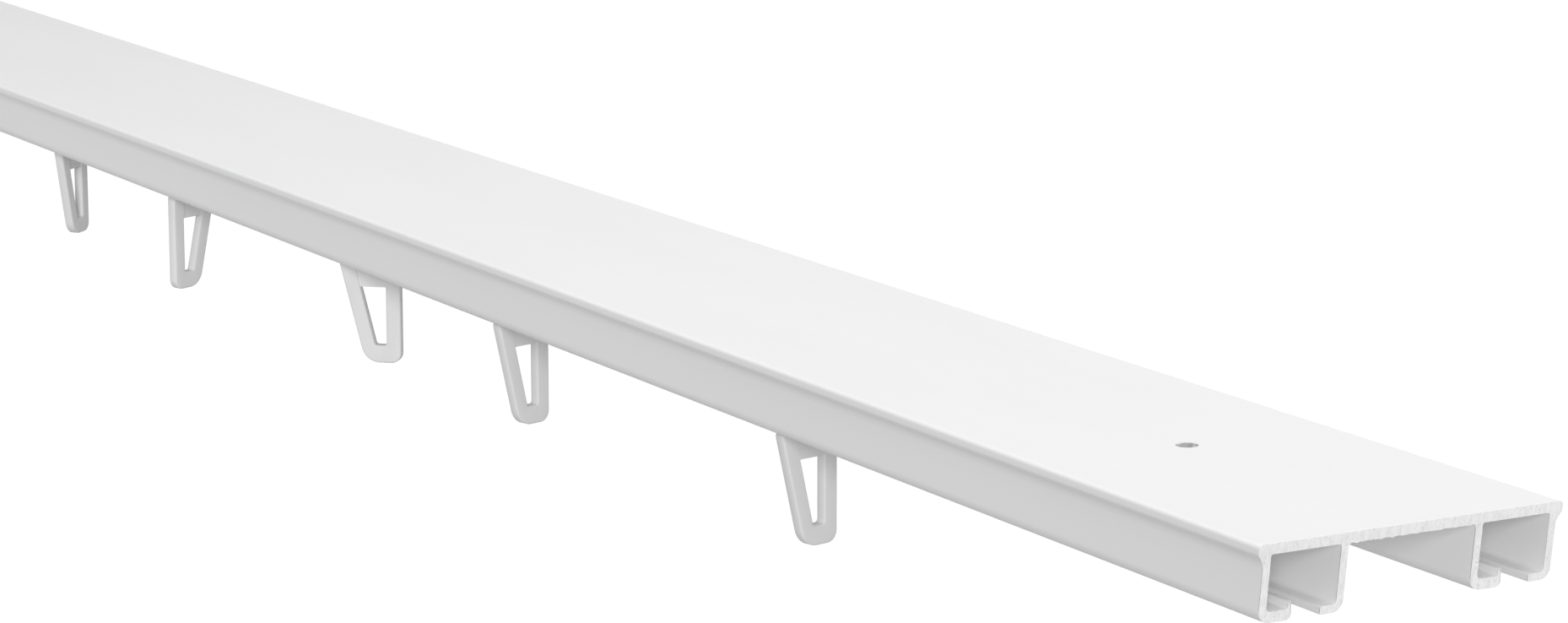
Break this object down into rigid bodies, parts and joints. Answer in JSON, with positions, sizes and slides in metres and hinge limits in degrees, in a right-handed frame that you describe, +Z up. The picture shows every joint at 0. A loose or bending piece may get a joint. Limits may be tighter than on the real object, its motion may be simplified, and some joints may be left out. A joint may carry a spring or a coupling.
{
  "type": "curtain track",
  "caption": "White extruded ceiling curtain track: side-by-side open-bottomed channels under a flat plate, with swivel-eye gliders that slide in the front channel and carry curtain hooks.",
  "frame": {"origin": "middle of the plate's top face, which lies against the ceiling, midway between the screw holes", "axes": "+X along the rail towards the sawn end, -Y to the front where the gliders hang, +Z up to the ceiling"},
  "size_m": [0.72, 0.057, 0.0345],
  "materials": {
    "rail_coat": "satin white powder coat on extruded aluminium, with a rough saw cut at one end",
    "glider_plastic": "satin white moulded acetal"
  },
  "bodies": {
    "rail": {"rail": "rail_coat"},
    "runner_1": {"glider_runner_1": "glider_plastic"},
    "eye_1": {"glider_eye_1": "glider_plastic"},
    "runner_2": {"glider_runner_2": "glider_plastic"},
    "eye_2": {"glider_eye_2": "glider_plastic"},
    "runner_3": {"glider_runner_3": "glider_plastic"},
    "eye_3": {"glider_eye_3": "glider_plastic"},
    "runner_4": {"glider_runner_4": "glider_plastic"},
    "eye_4": {"glider_eye_4": "glider_plastic"},
    "runner_5": {"glider_runner_5": "glider_plastic"},
    "eye_5": {"glider_eye_5": "glider_plastic"}
  },
  "joints": [
    {"name": "runner_1_slide", "type": "slide", "parent": "rail", "child": "runner_1", "axis": [1, 0, 0], "range_m": [-0.205, 0.06]},
    {"name": "eye_1_swivel", "type": "hinge", "parent": "runner_1", "child": "eye_1", "pos_m": [-0.148, -0.0185, -0.0126], "axis": [0, 0, 1], "continuous": true},
    {"name": "runner_2_slide", "type": "slide", "parent": "rail", "child": "runner_2", "axis": [1, 0, 0], "range_m": [-0.06, 0.082]},
    {"name": "eye_2_swivel", "type": "hinge", "parent": "runner_2", "child": "eye_2", "pos_m": [-0.072, -0.0185, -0.0126], "axis": [0, 0, 1], "continuous": true},
    {"name": "runner_3_slide", "type": "slide", "parent": "rail", "child": "runner_3", "axis": [1, 0, 0], "range_m": [-0.082, 0.055]},
    {"name": "eye_3_swivel", "type": "hinge", "parent": "runner_3", "child": "eye_3", "pos_m": [0.0255, -0.0185, -0.0126], "axis": [0, 0, 1], "continuous": true},
    {"name": "runner_4_slide", "type": "slide", "parent": "rail", "child": "runner_4", "axis": [1, 0, 0], "range_m": [-0.055, 0.097]},
    {"name": "eye_4_swivel", "type": "hinge", "parent": "runner_4", "child": "eye_4", "pos_m": [0.096, -0.0185, -0.0126], "axis": [0, 0, 1], "continuous": true},
    {"name": "runner_5_slide", "type": "slide", "parent": "rail", "child": "runner_5", "axis": [1, 0, 0], "range_m": [-0.097, 0.141]},
    {"name": "eye_5_swivel", "type": "hinge", "parent": "runner_5", "child": "eye_5", "pos_m": [0.209, -0.0185, -0.0126], "axis": [0, 0, 1], "continuous": true}
  ]
}
